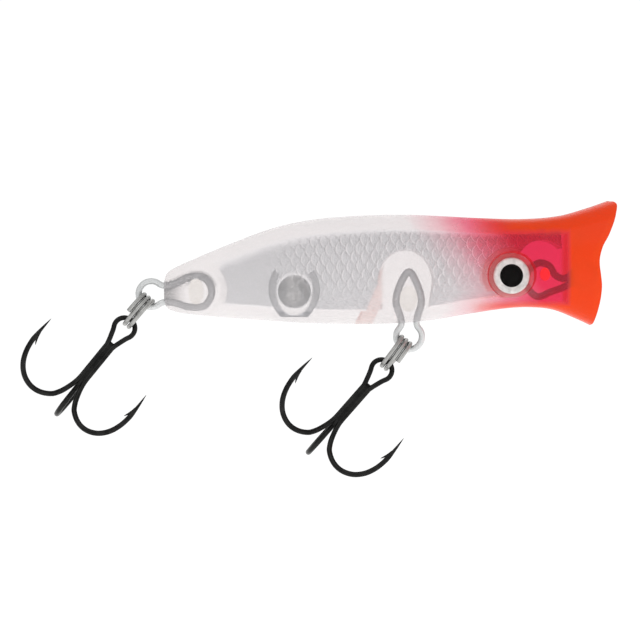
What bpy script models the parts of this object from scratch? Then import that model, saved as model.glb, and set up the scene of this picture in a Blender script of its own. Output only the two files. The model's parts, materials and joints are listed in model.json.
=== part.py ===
"""A 60 mm topwater popper with two treble hooks, modelled piece by piece.

The body is two clear moulded halves welded along the middle plane. They trap three bent-wire hangers
and a rattle ball. Each hook hangs on a split ring, and each split ring hangs on a hanger's outer eye.

Units are metres, +X points to the mouth and +Z up. The origin is the centre of the line-tie eye.
Outlines and sizes are written in millimetres and scaled once, by MM.
"""

import math

import bmesh
import bpy
from mathutils import Matrix, Vector

MM = 0.001
MERGE = 1e-6

# Body lines in the side view, as (x, z), and the half width, as (x, y). All in millimetres, tail first.
BACK_LINE = [
    (-56.1, -0.8), (-55.9, 0.0), (-55.2, 0.75), (-52.7, 1.95), (-47.1, 4.3), (-41.5, 6.35), (-35.9, 7.5),
    (-28.8, 8.03), (-22.7, 8.07), (-14.0, 7.65), (-8.3, 7.53), (-3.5, 7.95), (0.2, 8.98), (3.0, 9.95),
    (5.2, 10.7),
]
BELLY_LINE = [
    (-56.1, -3.2), (-55.9, -4.0), (-55.2, -4.65), (-52.7, -5.15), (-44.3, -5.87), (-35.9, -6.38),
    (-25.8, -6.4), (-20.5, -5.95), (-15.6, -5.12), (-10.7, -4.4), (-7.5, -4.23), (-4.3, -4.56),
    (-1.0, -5.85), (0.9, -6.75), (5.2, -8.8),
]
SIDE_LINE = [
    (-56.1, 1.2), (-55.9, 1.65), (-55.2, 2.1), (-52.7, 2.7), (-47.1, 3.85), (-41.5, 4.9), (-35.0, 5.6),
    (-27.0, 5.95), (-20.0, 5.85), (-13.0, 5.5), (-8.0, 5.3), (-5.0, 5.4), (-2.0, 5.8), (1.0, 6.5),
    (5.2, 7.6),
]
STATIONS = (
    [-56.1, -56.0, -55.8, -55.4, -54.6, -53.2]
    + [-51.0 + 3.0 * i for i in range(15)]
    + [-6.2, -4.0, -2.0, -0.2, 1.6, 3.4, 5.2]
)
SECTION_POINTS = 28
SECTION_POWER = 2.3
WELD_GAP = 0.06
SIDE_BOX_SIZE = (90.0, 20.0, 40.0)

# Farther from the middle plane than any of the body.
OUTSIDE_Y = 9.0

# The inside of the body.
SIDE_WALL = 1.1
BACK_WALL = 2.0
BELLY_WALL = 1.7
CAVITY_REAR = -48.8
CAVITY_REAR_SHARE = 0.45
CAVITY_REAR_TAPER = 6.0
CAVITY_STATIONS = [CAVITY_REAR, -47.6, -45.5] + [-42.0 + 4.2 * i for i in range(9)] + [-3.4]

# The mouth: the rim in the side view, from above the top lip to below the bottom lip, and its cup.
RIM = [
    (2.2, 10.6), (2.95, 9.9), (3.6, 9.75), (3.9, 9.3), (3.75, 8.4), (3.35, 7.0), (2.6, 5.2), (1.85, 3.8),
    (1.45, 2.4), (1.4, 1.3), (1.55, 0.1), (1.7, -1.4), (1.6, -2.9), (1.35, -4.4), (1.0, -5.9), (0.8, -6.45),
    (0.3, -6.75), (-0.3, -7.2),
]
CUP_BACK = -1.7
CUP_WIDEST = 2.6
CUP_FRONT = 5.6
CUP_OUTLINE_FROM = 0.5
LIP = 0.65
CUP_AXIS_Z = 1.0

# Hanger wires: the outer eye is round, and the inner loop, given as (x, z), is anchored in a boss.
WIRE_RADIUS = 0.42
EYE_RADIUS = 1.72
TAIL_EYE = (-57.8, -2.47)
BELLY_EYE = (-23.46, -8.13)
EYE_OPENINGS = {"belly": 52, "tail": 74}
LINE_TIE_AXES = (1.3, 1.68)
LINE_TIE_ARC = (-158, 148)
TAIL_LOOP = [(-54.8, -1.15), (-52.6, -0.15), (-50.6, -0.4), (-49.75, -2.2), (-50.7, -4.0), (-52.7, -4.2),
             (-54.8, -3.6)]
BELLY_LOOP = [(-24.6, -5.5), (-25.2, -3.4), (-24.6, -1.1), (-23.46, 0.5), (-22.4, -1.1), (-21.8, -3.4),
              (-22.35, -5.5)]
NOSE_LOOP = [(-2.6, -0.35), (-3.9, 0.0), (-4.8, 1.3), (-6.2, 1.65), (-7.6, 0.5), (-7.8, -1.3), (-6.4, -2.8),
             (-4.6, -2.2), (-2.6, -1.45)]
GROOVE_CLEARANCE = 0.08

# Oval pins on the right shell, which pass through the inner loops into holes in the left shell. Each has a
# centre and half axes.
PINS = {
    "tail_pin": ((-51.9, -2.1), (0.95, 1.5)),
    "belly_pin": ((-23.5, -3.1), (1.05, 1.65)),
    "nose_pin": ((-5.6, 0.0), (0.6, 0.8)),
}
PIN_ROOT = 0.6
PIN_REACH = 1.2
PIN_CLEARANCE = 0.06

# Bosses and ribs that stay solid inside the cavity.
TAIL_BOSS = ((-51.9, -2.05), 4.2)
BELLY_BOSS_DOME = ((-24.0, -0.9), (3.6, 4.2))
BELLY_BOSS_STEM = [(-20.8, -3.4), (-20.8, -8.0), (-27.0, -8.0), (-27.0, -3.4)]
NOSE_BOSS_DOME = ((-5.9, 1.4), (3.3, 3.3))
NOSE_BOSS_STEM = [(-2.4, 3.2), (-2.4, -6.0), (-8.3, -6.0)]
SLANTED_RIB = [(-27.6, -1.4), (-26.4, -2.2), (-28.6, -7.5), (-30.4, -7.5)]
CHAMBER_CENTRE = (-38.75, -1.95)
CHAMBER_BORE = 2.45
CHAMBER_WALL = 0.95
CHAMBER_ARM_RISE = 0.8
CHAMBER_FOOT = 1.5
BALL_RADIUS = 2.2
BALL_GAP = 0.05

# Eyes.
EYE_CENTRE = (-10.03, -0.07)
SOCKET_RADIUS = 3.05
SOCKET_FLOOR = 3.9
SOCKET_BOSS_RADIUS = 3.75
SOCKET_BOSS_FACE = 2.9
FOIL_RADIUS = 2.4
FOIL_THICKNESS = 0.12
DOME_RADIUS = 2.95
DOME_EDGE = 0.35
DOME_RISE = 0.95
EYE_GAP = 0.04

# Split rings, in a frame whose -Z runs from the hanger eye to the hook.
RING_WIRE = 0.32
RING_RADIUS = 2.315
RING_PITCH = 0.70
RING_DROP = 2.96
RING_START, RING_END = -20, 825
RING_SEGMENTS = 38

# Treble hooks, in the same frame with its origin at the split ring's centre.
HOOK_WIRE = 0.34
HOOK_EYE_DROP = 2.86
HOOK_EYE_ARC = 1.33
SHANK_OFFSET = 0.36
SHANK_TOP = -6.0
SHANK_END = -11.4
BEND = [(0.62, -13.0), (1.4, -15.1), (2.9, -16.5), (4.9, -17.0), (6.9, -16.55), (8.45, -15.2), (9.2, -13.2),
        (9.42, -11.4), (9.36, -9.9), (9.25, -8.5)]
PRONG_LEAVES_SHANK = 2.0
PRONG_ANGLES = {"left": 210, "right": 330, "rear": 90}
SHANK_GAP = 0.05
POINT_LENGTH = 2.4
BARB_FROM_POINT = 2.3
BARB_LENGTH = 1.0
BARB_RADII = (0.24, 0.03)
BARB_LEAN = 0.45
BARB_RAISE = (0.1, 1.25)

# How far each split ring and its hook trail behind straight down, and how far the hooks lean sideways,
# in degrees.
TAIL_TRAILS = (38.2, 38.8)
BELLY_TRAILS = (39.2, 41.5)
HOOK_LEAN = -9.5

COLOURS = {
    "clear_plastic": ((0.85, 0.82, 0.83), 0.25, 0.0),
    "hanger_wire": ((0.62, 0.64, 0.64), 0.35, 1.0),
    "split_ring_steel": ((0.42, 0.42, 0.40), 0.35, 1.0),
    "black_nickel": ((0.03, 0.03, 0.035), 0.3, 1.0),
    "eye_foil": ((0.78, 0.77, 0.76), 0.3, 0.8),
    "eye_resin": ((0.9, 0.9, 0.9), 0.05, 0.0),
    "rattle_steel": ((0.5, 0.5, 0.48), 0.15, 1.0),
}


def clear_scene():
    for item in list(bpy.data.objects):
        bpy.data.objects.remove(item, do_unlink=True)


def new_collection(name):
    made = bpy.data.collections.new(name)
    bpy.context.scene.collection.children.link(made)
    return made


def new_material(name):
    colour, roughness, metallic = COLOURS[name]
    made = bpy.data.materials.new(name)
    made.use_nodes = True
    shader = made.node_tree.nodes["Principled BSDF"]
    shader.inputs["Base Color"].default_value = (*colour, 1.0)
    shader.inputs["Roughness"].default_value = roughness
    shader.inputs["Metallic"].default_value = metallic
    return made


def link(name, data, collection, parent=None):
    made = bpy.data.objects.new(name, data)
    collection.objects.link(made)
    made.parent = parent
    return made


def finish_part(part, material):
    part.data.materials.clear()
    part.data.materials.append(material)
    part.data.shade_smooth()
    part.data.set_sharp_from_angle(angle=math.radians(40))


def as_cutter(cutter):
    cutter.hide_render = True
    cutter.display_type = "WIRE"
    return cutter


# Curves and outlines, all in millimetres.


def hermite(points, x):
    """The value at x of a smooth curve through (x, value) points."""
    last = len(points) - 1
    i = next((k for k in range(last) if x <= points[k + 1][0]), last - 1)

    def slope(k):
        a, b = points[max(k - 1, 0)], points[min(k + 1, last)]
        return (b[1] - a[1]) / (b[0] - a[0])

    (x0, y0), (x1, y1) = points[i], points[i + 1]
    span = x1 - x0
    t = min(max((x - x0) / span, 0.0), 1.0)
    return (
        (2 * t**3 - 3 * t**2 + 1) * y0
        + (t**3 - 2 * t**2 + t) * span * slope(i)
        + (3 * t**2 - 2 * t**3) * y1
        + (t**3 - t**2) * span * slope(i + 1)
    )


def smooth_path(points, steps=2):
    """Points of a Catmull-Rom curve through the given points, steps to a span."""
    points = [Vector(p) for p in points]
    path = []
    for i in range(len(points) - 1):
        p1, p2 = points[i], points[i + 1]
        p0 = points[i - 1] if i else p1 * 2 - p2
        p3 = points[i + 2] if i + 2 < len(points) else p2 * 2 - p1
        for k in range(steps):
            t = k / steps
            path.append(
                0.5 * (2 * p1 + (p2 - p0) * t + (2 * p0 - 5 * p1 + 4 * p2 - p3) * t**2
                       + (3 * p1 - p0 - 3 * p2 + p3) * t**3)
            )
    return path + [points[-1]]


def ellipse(centre, axes, start=0, end=360, steps=24):
    """Points along part of an ellipse, with both ends unless it is whole."""
    whole = abs(end - start) >= 360
    angles = [math.radians(start + (end - start) * i / steps) for i in range(steps if whole else steps + 1)]
    return [(centre[0] + axes[0] * math.cos(a), centre[1] + axes[1] * math.sin(a)) for a in angles]


def hanger_path(eye, loop, opening, facing):
    """A closed wire path: the inner loop, then round the outer eye, whose opening faces the loop."""
    half = opening / 2
    around = ellipse(eye, (EYE_RADIUS, EYE_RADIUS), facing + 360 - half, facing + half, 14)
    inner = [tuple(p) for p in smooth_path([around[-1], *loop, around[0]])]
    return inner[:-1] + around[:-1]


def line_tie_path():
    around = ellipse((0, 0), LINE_TIE_AXES, *LINE_TIE_ARC, 15)
    inner = [tuple(p) for p in smooth_path([around[-1], *NOSE_LOOP, around[0]])]
    return inner[:-1] + around[:-1]


# Makers of solids.


def bridge_rings(bm, rings):
    for a, b in zip(rings, rings[1:]):
        for i in range(len(a)):
            j = (i + 1) % len(a)
            bm.faces.new((a[i], a[j], b[j], b[i]))


def loft(name, sections, collection):
    """A closed solid through rings of points given in millimetres, which all have the same count."""
    bm = bmesh.new()
    rings = [[bm.verts.new(Vector(p) * MM) for p in section] for section in sections]
    bridge_rings(bm, rings)
    bm.faces.new(rings[0])
    bm.faces.new(rings[-1])
    bmesh.ops.recalc_face_normals(bm, faces=bm.faces)
    mesh = bpy.data.meshes.new(name)
    bm.to_mesh(mesh)
    bm.free()
    return link(name, mesh, collection)


def section(x, top, bottom, half_width):
    """A superellipse across the body at x."""
    middle, height = (top + bottom) / 2, (top - bottom) / 2
    ring = []
    for i in range(SECTION_POINTS):
        a = 2 * math.pi * (i + 0.5) / SECTION_POINTS
        c, s = math.cos(a), math.sin(a)
        y = half_width * math.copysign(abs(s) ** (2 / SECTION_POWER), s)
        z = middle + height * math.copysign(abs(c) ** (2 / SECTION_POWER), c)
        ring.append((x, y, z))
    return ring


def mesh_from_curve(curve, collection):
    """The curve's evaluated mesh as an object of its own, with its caps welded. The curve is removed."""
    bpy.context.view_layer.update()
    graph = bpy.context.evaluated_depsgraph_get()
    mesh = bpy.data.meshes.new_from_object(curve.evaluated_get(graph), depsgraph=graph)
    bm = bmesh.new()
    bm.from_mesh(mesh)
    bmesh.ops.remove_doubles(bm, verts=bm.verts, dist=MERGE)
    bmesh.ops.recalc_face_normals(bm, faces=bm.faces)
    bm.to_mesh(mesh)
    bm.free()
    name, place, parent = curve.name, curve.matrix_world.copy(), curve.parent
    bpy.data.objects.remove(curve, do_unlink=True)
    made = link(name, mesh, collection, parent)
    made.matrix_world = place
    return made


def prism(name, outline, half_depth, collection, y=0.0):
    """A flat outline in the XZ plane, extruded along Y to both sides of y."""
    curve = bpy.data.curves.new(name, "CURVE")
    curve.dimensions = "2D"
    curve.fill_mode = "BOTH"
    curve.extrude = half_depth * MM
    spline = curve.splines.new("POLY")
    spline.points.add(len(outline) - 1)
    for point, (px, pz) in zip(spline.points, outline):
        point.co = (px * MM, pz * MM, 0, 1)
    spline.use_cyclic_u = True
    made = link(name, curve, collection)
    made.rotation_euler = (math.pi / 2, 0, 0)
    made.location = (0, y * MM, 0)
    return mesh_from_curve(made, collection)


def tube(name, path, radius, collection, closed=False, parent=None, taper=()):
    """A round wire along a path. taper gives the last points' radii as shares of the wire's own."""
    curve = bpy.data.curves.new(name, "CURVE")
    curve.dimensions = "3D"
    curve.bevel_depth = radius * MM
    curve.bevel_resolution = 2
    curve.use_fill_caps = not closed
    spline = curve.splines.new("POLY")
    spline.points.add(len(path) - 1)
    for point, place in zip(spline.points, path):
        point.co = (*(Vector(place) * MM), 1)
    for i, share in taper:
        spline.points[i].radius = share
    spline.use_cyclic_u = closed
    return link(name, curve, collection, parent)


def turned(name, profile, collection, steps=20):
    """A solid turned about Z from an (r, z) profile that starts and ends on the axis, top first."""
    bm = bmesh.new()
    verts = [bm.verts.new((r * MM, 0, z * MM)) for r, z in profile]
    for a, b in zip(verts, verts[1:]):
        bm.edges.new((a, b))
    mesh = bpy.data.meshes.new(name)
    bm.to_mesh(mesh)
    bm.free()
    made = link(name, mesh, collection)
    screw = made.modifiers.new("Turn", "SCREW")
    screw.steps = screw.render_steps = steps
    screw.use_merge_vertices = True
    screw.merge_threshold = MERGE
    return made


def boolean(target, other, operation="DIFFERENCE", solver="EXACT"):
    cut = target.modifiers.new(other.name, "BOOLEAN")
    cut.operation = operation
    cut.solver = solver
    cut.object = other


# The body.


def body_loft(collection):
    sections = [
        section(x, hermite(BACK_LINE, x), hermite(BELLY_LINE, x), hermite(SIDE_LINE, x)) for x in STATIONS
    ]
    return as_cutter(loft("body_solid", sections, collection))


def cavity_loft(collection):
    sections = []
    for x in CAVITY_STATIONS:
        near_rear = min(1.0, CAVITY_REAR_SHARE + (x - CAVITY_REAR) / CAVITY_REAR_TAPER)
        top = hermite(BACK_LINE, x) - BACK_WALL
        bottom = hermite(BELLY_LINE, x) + BELLY_WALL
        side = hermite(SIDE_LINE, x) - SIDE_WALL
        middle, height = (top + bottom) / 2, (top - bottom) / 2 * near_rear
        sections.append(section(x, middle + height, middle - height, side * near_rear))
    return as_cutter(loft("cavity", sections, collection))


def cup_loft(collection):
    """The concave mouth, which narrows like an ellipsoid to its back wall."""
    depth = CUP_WIDEST - CUP_BACK
    sections = []
    stations = [CUP_BACK + depth * share for share in (0.01, 0.06, 0.16, 0.32, 0.52, 0.74, 1.0)]
    for x in stations + [CUP_FRONT]:
        reach = min(x, CUP_WIDEST)
        scale = math.sqrt(max(1 - ((CUP_WIDEST - reach) / depth) ** 2, 0.0))
        at = max(x, CUP_OUTLINE_FROM)
        top = (hermite(BACK_LINE, at) - LIP - CUP_AXIS_Z) * scale
        bottom = (CUP_AXIS_Z - hermite(BELLY_LINE, at) - LIP) * scale
        side = (hermite(SIDE_LINE, at) - LIP) * scale
        sections.append(section(x, CUP_AXIS_Z + top, CUP_AXIS_Z - bottom, side))
    return as_cutter(loft("mouth_cup", sections, collection))


def chamber_outline():
    """A C-shaped wall, open at the top, with a flat foot that runs into the belly."""
    x, z = CHAMBER_CENTRE
    outer = CHAMBER_BORE + CHAMBER_WALL
    outside = (outer, outer + CHAMBER_ARM_RISE)
    inside = (CHAMBER_BORE, CHAMBER_BORE + CHAMBER_ARM_RISE)
    foot_half, foot_z = outer * 0.8, z - outer - CHAMBER_FOOT
    foot = [(x + foot_half, foot_z), (x - foot_half, foot_z)]
    right_arm = ellipse(CHAMBER_CENTRE, outside, 38, -36, 6)
    left_arm = ellipse(CHAMBER_CENTRE, outside, 216, 142, 6)
    bore_left = ellipse(CHAMBER_CENTRE, inside, 140, 180, 3)
    bore_bottom = ellipse(CHAMBER_CENTRE, (CHAMBER_BORE, CHAMBER_BORE), 180, 360, 12)
    bore_right = ellipse(CHAMBER_CENTRE, inside, 0, 40, 3)
    return right_arm + foot + left_arm + bore_left + bore_bottom[1:-1] + bore_right


def boss_outlines():
    """Everything that stays solid across the cavity, as outlines in the side view."""
    dome = ellipse(*BELLY_BOSS_DOME, 180, 0, 12)
    nose = ellipse(*NOSE_BOSS_DOME, 180, 40, 9)
    return {
        "tail_boss": ellipse(TAIL_BOSS[0], (TAIL_BOSS[1], TAIL_BOSS[1]), steps=20),
        "belly_boss": dome + BELLY_BOSS_STEM,
        "nose_boss": nose + NOSE_BOSS_STEM,
        "slanted_rib": SLANTED_RIB,
        "rattle_chamber": chamber_outline(),
    }


def groove(name, path, collection):
    """The channel that a hanger's wire lies in, half in each shell."""
    channel = tube(name, path, WIRE_RADIUS + GROOVE_CLEARANCE, collection, closed=True)
    return as_cutter(mesh_from_curve(channel, collection))


def eye_prism(name, radius, near, side, collection):
    """A round bar on the eye's axis, from near to past the outside of the body."""
    depth = (OUTSIDE_Y - near) / 2
    round_outline = ellipse(EYE_CENTRE, (radius, radius), steps=24)
    return as_cutter(prism(name, round_outline, depth, collection, y=side * (near + depth)))


def rim_cutter(collection):
    """All that lies in front of the mouth's rim."""
    front = [tuple(p) for p in smooth_path(RIM)]
    around = [(RIM[-1][0], -12.0), (9.0, -12.0), (9.0, 12.0), (RIM[0][0], 12.0)]
    return as_cutter(prism("rim_cut", front + around, OUTSIDE_Y, collection))


def side_box(side, collection):
    """All of the space on one side of the middle plane, less half of the weld's gap."""
    bm = bmesh.new()
    bmesh.ops.create_cube(bm, size=1.0)
    mesh = bpy.data.meshes.new("side_box")
    bm.to_mesh(mesh)
    bm.free()
    box = link("side_box", mesh, collection)
    length, width, height = (size * MM for size in SIDE_BOX_SIZE)
    box.scale = (length, width, height)
    box.location = (STATIONS[len(STATIONS) // 2] * MM, side * (width + WELD_GAP * MM) / 2, 0)
    return as_cutter(box)


def pin_prism(name, centre, axes, clearance, near, far, collection):
    """An oval pin, or the hole for it, from y near to y far."""
    outline = ellipse(centre, [axis + clearance for axis in axes], steps=12)
    depth = (far - near) / 2
    return as_cutter(prism(name, outline, depth, collection, y=near + depth))


def make_shells(grooves, parts, cutters, material):
    solid = body_loft(cutters)
    cavity = cavity_loft(cutters)
    for name, outline in boss_outlines().items():
        boolean(cavity, as_cutter(prism(name, outline, OUTSIDE_Y, cutters)))
    for side in (-1, 1):
        boolean(cavity, eye_prism("socket_boss", SOCKET_BOSS_RADIUS, SOCKET_BOSS_FACE, side, cutters))
    cup = cup_loft(cutters)
    rim = rim_cutter(cutters)
    for name, side in (("right_body_shell", -1), ("left_body_shell", 1)):
        shell = link(name, solid.data.copy(), parts)
        boolean(shell, side_box(side, cutters), "INTERSECT")
        socket = eye_prism("eye_socket", SOCKET_RADIUS, SOCKET_FLOOR, side, cutters)
        for cutter in (cavity, rim, cup, socket):
            boolean(shell, cutter)
        for cutter in grooves:
            boolean(shell, cutter, solver="MANIFOLD")
        for pin, (centre, axes) in PINS.items():
            if side < 0:
                boolean(shell, pin_prism(pin, centre, axes, 0, -PIN_ROOT, PIN_REACH, cutters), "UNION")
            else:
                depth = PIN_REACH + PIN_CLEARANCE
                hole = pin_prism(f"{pin}_hole", centre, axes, PIN_CLEARANCE, -PIN_ROOT, depth, cutters)
                boolean(shell, hole)
        finish_part(shell, material)


def make_eyes(parts, foil_material, resin_material):
    foil = [(0, FOIL_THICKNESS), (FOIL_RADIUS, FOIL_THICKNESS), (FOIL_RADIUS, 0), (0, 0)]
    base = FOIL_THICKNESS + EYE_GAP
    edge = base + DOME_EDGE
    dome = [(0, edge + DOME_RISE)] + ellipse((0, edge), (DOME_RADIUS, DOME_RISE), 72, 0, 4)
    dome += [(DOME_RADIUS, base), (0, base)]
    for side_name, side in (("right", -1), ("left", 1)):
        for kind, profile, material in (("foil", foil, foil_material), ("dome", dome, resin_material)):
            eye = turned(f"{side_name}_eye_{kind}", profile, parts)
            eye.rotation_euler = (-side * math.pi / 2, 0, 0)
            eye.location = (EYE_CENTRE[0] * MM, side * (SOCKET_FLOOR + EYE_GAP) * MM, EYE_CENTRE[1] * MM)
            finish_part(eye, material)


def make_ball(parts, material):
    bm = bmesh.new()
    bmesh.ops.create_uvsphere(bm, u_segments=18, v_segments=10, radius=BALL_RADIUS * MM)
    mesh = bpy.data.meshes.new("rattle_ball")
    bm.to_mesh(mesh)
    bm.free()
    ball = link("rattle_ball", mesh, parts)
    drop = CHAMBER_BORE - BALL_RADIUS - BALL_GAP
    ball.location = (CHAMBER_CENTRE[0] * MM, 0, (CHAMBER_CENTRE[1] - drop) * MM)
    finish_part(ball, material)


def make_hangers(parts, cutters, material):
    """Bends the three wires and returns the cutters of the channels that they lie in."""
    wires = {
        "line_tie_wire": line_tie_path(),
        "belly_hanger": hanger_path(BELLY_EYE, BELLY_LOOP, EYE_OPENINGS["belly"], 90),
        "tail_hanger": hanger_path(TAIL_EYE, TAIL_LOOP, EYE_OPENINGS["tail"], 0),
    }
    grooves = []
    for name, outline in wires.items():
        path = [(x, 0, z) for x, z in outline]
        wire = tube(name, path, WIRE_RADIUS, parts, closed=True)
        finish_part(mesh_from_curve(wire, parts), material)
        grooves.append(groove(f"{name}_groove", path, cutters))
    return grooves


# Split rings and hooks.


def make_split_ring(name, pivot, hand, parts, material):
    """Two turns of wire and an overlap, which cross the hanger's eye. hand, 1 or -1, is the coil's sense."""
    path = []
    for i in range(RING_SEGMENTS + 1):
        degrees = RING_START + (RING_END - RING_START) * i / RING_SEGMENTS
        a = math.radians(degrees)
        across = hand * (degrees - 360) / 360 * RING_PITCH
        path.append((across, -RING_RADIUS * math.sin(a), -RING_DROP + RING_RADIUS * math.cos(a)))
    finish_part(mesh_from_curve(tube(name, path, RING_WIRE, parts, parent=pivot), parts), material)


def prong(direction, offset):
    """Shank end, bend and point of one prong, which leaves the shank's offset for its own direction."""
    path = []
    for r, z in smooth_path([(0.0, SHANK_END), *BEND]):
        share = min(r / PRONG_LEAVES_SHANK, 1.0)
        x = offset[0] * (1 - share) + direction[0] * r
        y = offset[1] * (1 - share) + direction[1] * r
        path.append((x, y, z))
    return path


def point_taper(path, last):
    """(index, share) pairs that sharpen the end of a path into a needle point."""
    order = range(len(path) - 1, -1, -1) if last else range(len(path))
    end = Vector(path[-1 if last else 0])
    shares = []
    for i in order:
        distance = (Vector(path[i]) - end).length
        if distance > POINT_LENGTH:
            break
        shares.append((i, 0.1 + 0.9 * (distance / POINT_LENGTH) ** 0.7))
    return shares


def hook_eye_path():
    """From one shank, round the teardrop eye, to the other."""
    centre = -HOOK_EYE_DROP
    arc = ellipse((0, centre), (HOOK_EYE_ARC, HOOK_EYE_ARC), 205, -25, 13)
    neck = [(-0.62, SHANK_TOP + 0.75), (-1.02, centre - 1.15)]
    left = smooth_path([(-SHANK_OFFSET, SHANK_TOP), *neck, arc[0]])
    right = [(-x, z) for x, z in reversed(left)]
    return [(x, 0.0, z) for x, z in [*left[:-1], *arc, *right[1:]]]


def add_barb(hook, path, last, direction, collection):
    """A small sliver raised from the inner side of the point, which leans back towards the bend."""
    ordered = path[::-1] if last else path
    end = Vector(ordered[0])
    base = next(Vector(p) for p in ordered if (Vector(p) - end).length >= BARB_FROM_POINT)
    inward = Vector((-direction[0], -direction[1], 0))
    lean = (Vector((0, 0, -1)) + inward * BARB_LEAN).normalized()
    root, tip = BARB_RADII
    bm = bmesh.new()
    bmesh.ops.create_cone(
        bm, cap_ends=True, segments=8, radius1=root * MM, radius2=tip * MM, depth=BARB_LENGTH * MM
    )
    turn = Vector((0, 0, 1)).rotation_difference(lean).to_matrix().to_4x4()
    middle = base + Vector((0, 0, BARB_RAISE[1])) + inward * BARB_RAISE[0] + lean * BARB_LENGTH / 2
    bmesh.ops.transform(bm, matrix=Matrix.Translation(middle * MM) @ turn, verts=bm.verts)
    mesh = bpy.data.meshes.new("barb")
    bm.to_mesh(mesh)
    bm.free()
    barb = as_cutter(link(f"{hook.name}_barb", mesh, collection, hook.parent))
    boolean(hook, barb, "UNION")


def make_treble(name, pivot, parts, cutters, material):
    """A double hook bent from one wire, and a single hook lying in the groove along its shank."""
    left, right, rear = (
        (math.cos(math.radians(a)), math.sin(math.radians(a))) for a in PRONG_ANGLES.values()
    )
    left_prong = prong(left, (-SHANK_OFFSET, 0))[::-1]
    right_prong = prong(right, (SHANK_OFFSET, 0))
    path = left_prong + hook_eye_path() + right_prong
    taper = point_taper(path, last=False) + point_taper(path, last=True)
    double = tube(f"{name}_double", path, HOOK_WIRE, parts, parent=pivot, taper=taper)
    double = mesh_from_curve(double, parts)
    add_barb(double, path, False, left, cutters)
    add_barb(double, path, True, right, cutters)
    finish_part(double, material)
    behind = math.sqrt((2 * HOOK_WIRE + SHANK_GAP) ** 2 - SHANK_OFFSET**2)
    top = [(0, behind, SHANK_TOP - HOOK_WIRE), (0, behind, (SHANK_TOP + SHANK_END) / 2)]
    path = top + prong(rear, (0, behind))
    single = tube(f"{name}_single", path, HOOK_WIRE, parts, parent=pivot, taper=point_taper(path, True))
    single = mesh_from_curve(single, parts)
    add_barb(single, path, True, rear, cutters)
    finish_part(single, material)


def pivot_empty(name, place, parts, parent=None):
    made = link(name, None, parts, parent)
    made.matrix_world = place
    made.empty_display_size = 2 * MM
    return made


def make_hook_set(name, eye, trails, hand, parts, cutters, materials):
    """A split ring that swings fore and aft on its hanger, and its treble, which swings sideways."""
    ring_trail, hook_trail = (math.radians(a) for a in trails)
    ring_place = Matrix.Translation((eye[0] * MM, 0, eye[1] * MM)) @ Matrix.Rotation(ring_trail, 4, "Y")
    ring_pivot = pivot_empty(f"{name}_ring_pivot", ring_place, parts)
    bpy.context.view_layer.update()
    make_split_ring(f"{name}_split_ring", ring_pivot, hand, parts, materials["split_ring_steel"])
    contact = Vector((0, 0, -RING_RADIUS * MM))
    extra = Matrix.Rotation(hook_trail - ring_trail, 4, "Y")
    hook_place = (
        ring_place
        @ Matrix.Translation((0, 0, -RING_DROP * MM))
        @ Matrix.Rotation(math.radians(HOOK_LEAN), 4, "X")
        @ Matrix.Translation(contact)
        @ extra
        @ Matrix.Translation(-contact)
    )
    hook_pivot = pivot_empty(f"{name}_hook_pivot", hook_place, parts, ring_pivot)
    bpy.context.view_layer.update()
    make_treble(f"{name}_treble", hook_pivot, parts, cutters, materials["black_nickel"])


def build():
    clear_scene()
    parts = new_collection("topwater_popper")
    cutters = new_collection("cutters")
    materials = {name: new_material(name) for name in COLOURS}
    grooves = make_hangers(parts, cutters, materials["hanger_wire"])
    make_shells(grooves, parts, cutters, materials["clear_plastic"])
    make_eyes(parts, materials["eye_foil"], materials["eye_resin"])
    make_ball(parts, materials["rattle_steel"])
    make_hook_set("belly", BELLY_EYE, BELLY_TRAILS, 1, parts, cutters, materials)
    make_hook_set("tail", TAIL_EYE, TAIL_TRAILS, -1, parts, cutters, materials)


build()
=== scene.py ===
"""The looks of a 60 mm topwater popper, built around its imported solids.

Shapes are written in millimetres in the part's own frame (+X to the mouth, +Z up, origin at the line tie's
eye) and scaled once, by MM. The clear body is two closed half shells, with a material for each kind of
surface, so that what is inside shows through.
"""

import json
from functools import partialmethod
from math import copysign, cos, hypot, pi, radians, sin, sqrt

import bmesh
import bpy
from mathutils import Matrix, Vector


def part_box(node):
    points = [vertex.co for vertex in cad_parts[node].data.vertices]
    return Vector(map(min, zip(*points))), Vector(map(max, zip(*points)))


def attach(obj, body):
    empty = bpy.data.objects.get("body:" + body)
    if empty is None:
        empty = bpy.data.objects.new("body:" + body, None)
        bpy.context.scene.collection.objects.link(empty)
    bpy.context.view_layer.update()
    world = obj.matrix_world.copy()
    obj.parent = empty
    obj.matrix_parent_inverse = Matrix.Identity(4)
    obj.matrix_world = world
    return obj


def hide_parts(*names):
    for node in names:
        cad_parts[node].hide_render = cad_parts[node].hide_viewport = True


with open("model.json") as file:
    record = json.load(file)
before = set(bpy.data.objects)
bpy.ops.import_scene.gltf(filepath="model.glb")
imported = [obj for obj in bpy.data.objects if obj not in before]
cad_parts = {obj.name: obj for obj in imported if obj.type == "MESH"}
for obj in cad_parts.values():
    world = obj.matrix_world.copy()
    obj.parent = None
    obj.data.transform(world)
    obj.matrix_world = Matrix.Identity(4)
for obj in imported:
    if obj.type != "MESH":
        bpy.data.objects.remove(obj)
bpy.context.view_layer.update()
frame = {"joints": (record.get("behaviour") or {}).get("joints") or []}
JOINTS = {joint["name"]: joint for joint in frame["joints"]}

MM = 0.001

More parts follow.
